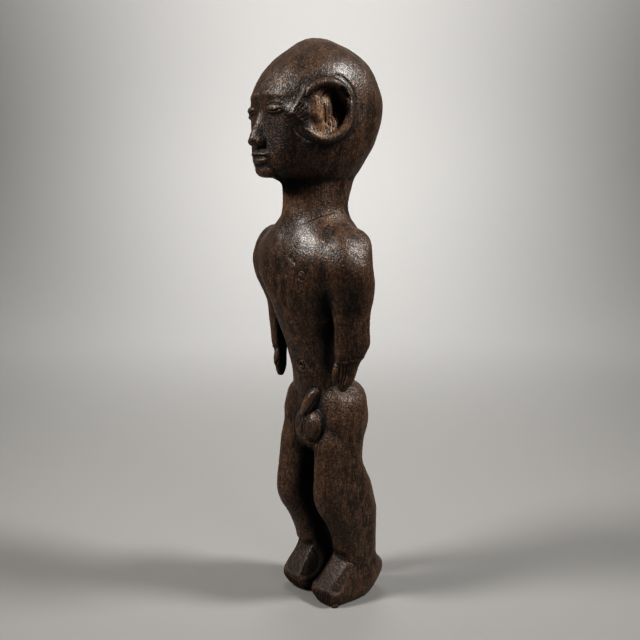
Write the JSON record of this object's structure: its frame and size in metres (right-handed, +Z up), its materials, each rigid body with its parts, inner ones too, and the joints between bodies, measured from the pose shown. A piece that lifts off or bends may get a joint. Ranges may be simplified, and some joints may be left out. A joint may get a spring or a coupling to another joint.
{
  "type": "carved standing male figure",
  "caption": "Standing male figure carved in dark hardwood, with a large bald head, big open ears, arms held by the sides and slightly bent legs.",
  "frame": {"origin": "middle of the underside of the figure's box, on the ground between the feet", "axes": "+Z up, the figure faces -Y, its left hand is on the +X side"},
  "size_m": [0.1136, 0.0998, 0.4],
  "materials": {
    "wood": "dark, hand-rubbed, satin with worn brown edges"
  },
  "bodies": {
    "root": {"figure": "wood"}
  },
  "joints": []
}
